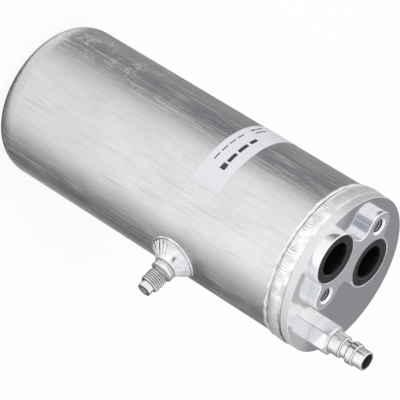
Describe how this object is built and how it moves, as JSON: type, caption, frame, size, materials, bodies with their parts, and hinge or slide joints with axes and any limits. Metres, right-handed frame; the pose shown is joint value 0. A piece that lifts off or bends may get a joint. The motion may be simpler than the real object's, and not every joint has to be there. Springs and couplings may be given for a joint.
{
  "type": "receiver drier",
  "caption": "Cylindrical aluminium receiver drier of an air conditioner, with a welded header, a two-port block, a service valve and a switch port in its side.",
  "frame": {"origin": "centre of the flat base of the can", "axes": "+Z along the can towards the header, Y along the line of the two ports"},
  "size_m": [0.1034, 0.0928, 0.249],
  "materials": {
    "can_aluminium": "drawn, satin with lengthwise lines",
    "machined_aluminium": "bright machined",
    "turned_aluminium": "bright turned",
    "weld_aluminium": "rippled weld bead",
    "tube_aluminium": "drawn",
    "black_polyethylene": "moulded, matte",
    "label_paper": "coated white label stock",
    "seal_rubber": "moulded seal",
    "white_nylon": "moulded",
    "filter_mesh": "fine woven screen",
    "felt": "felt",
    "valve_brass": "turned",
    "spring_steel": "drawn wire"
  },
  "bodies": {
    "vessel": {"bag_tie_lower": "white_nylon", "bag_tie_upper": "white_nylon", "can_body": "can_aluminium", "deflector_cap": "white_nylon", "desiccant_bag": "felt", "header": "machined_aluminium", "inlet_plug": "black_polyethylene", "label": "label_paper", "oil_filter": "white_nylon", "oil_filter_mesh": "filter_mesh", "outlet_plug": "black_polyethylene", "rim_weld": "weld_aluminium", "service_core_body": "valve_brass", "service_core_gasket": "seal_rubber", "service_core_spring": "spring_steel", "service_o_ring": "seal_rubber", "service_valve": "turned_aluminium", "suction_tube": "tube_aluminium", "switch_core_body": "valve_brass", "switch_core_gasket": "seal_rubber", "switch_core_spring": "spring_steel", "switch_port": "turned_aluminium", "switch_port_weld": "weld_aluminium"},
    "service_pin": {"service_core_pin": "valve_brass", "service_core_seal": "seal_rubber"},
    "switch_pin": {"switch_core_pin": "valve_brass", "switch_core_seal": "seal_rubber"}
  },
  "joints": [
    {"name": "service_pin_press", "type": "slide", "parent": "vessel", "child": "service_pin", "axis": [0, 0, -1], "range_m": [0, 0.0015], "stiffness_N_per_m": 2500, "springref_m": -0.001, "deforming": ["service_core_spring"]},
    {"name": "switch_pin_press", "type": "slide", "parent": "vessel", "child": "switch_pin", "axis": [-0.7934, 0.6088, 0], "range_m": [0, 0.0015], "stiffness_N_per_m": 2500, "springref_m": -0.001, "deforming": ["switch_core_spring"]}
  ]
}
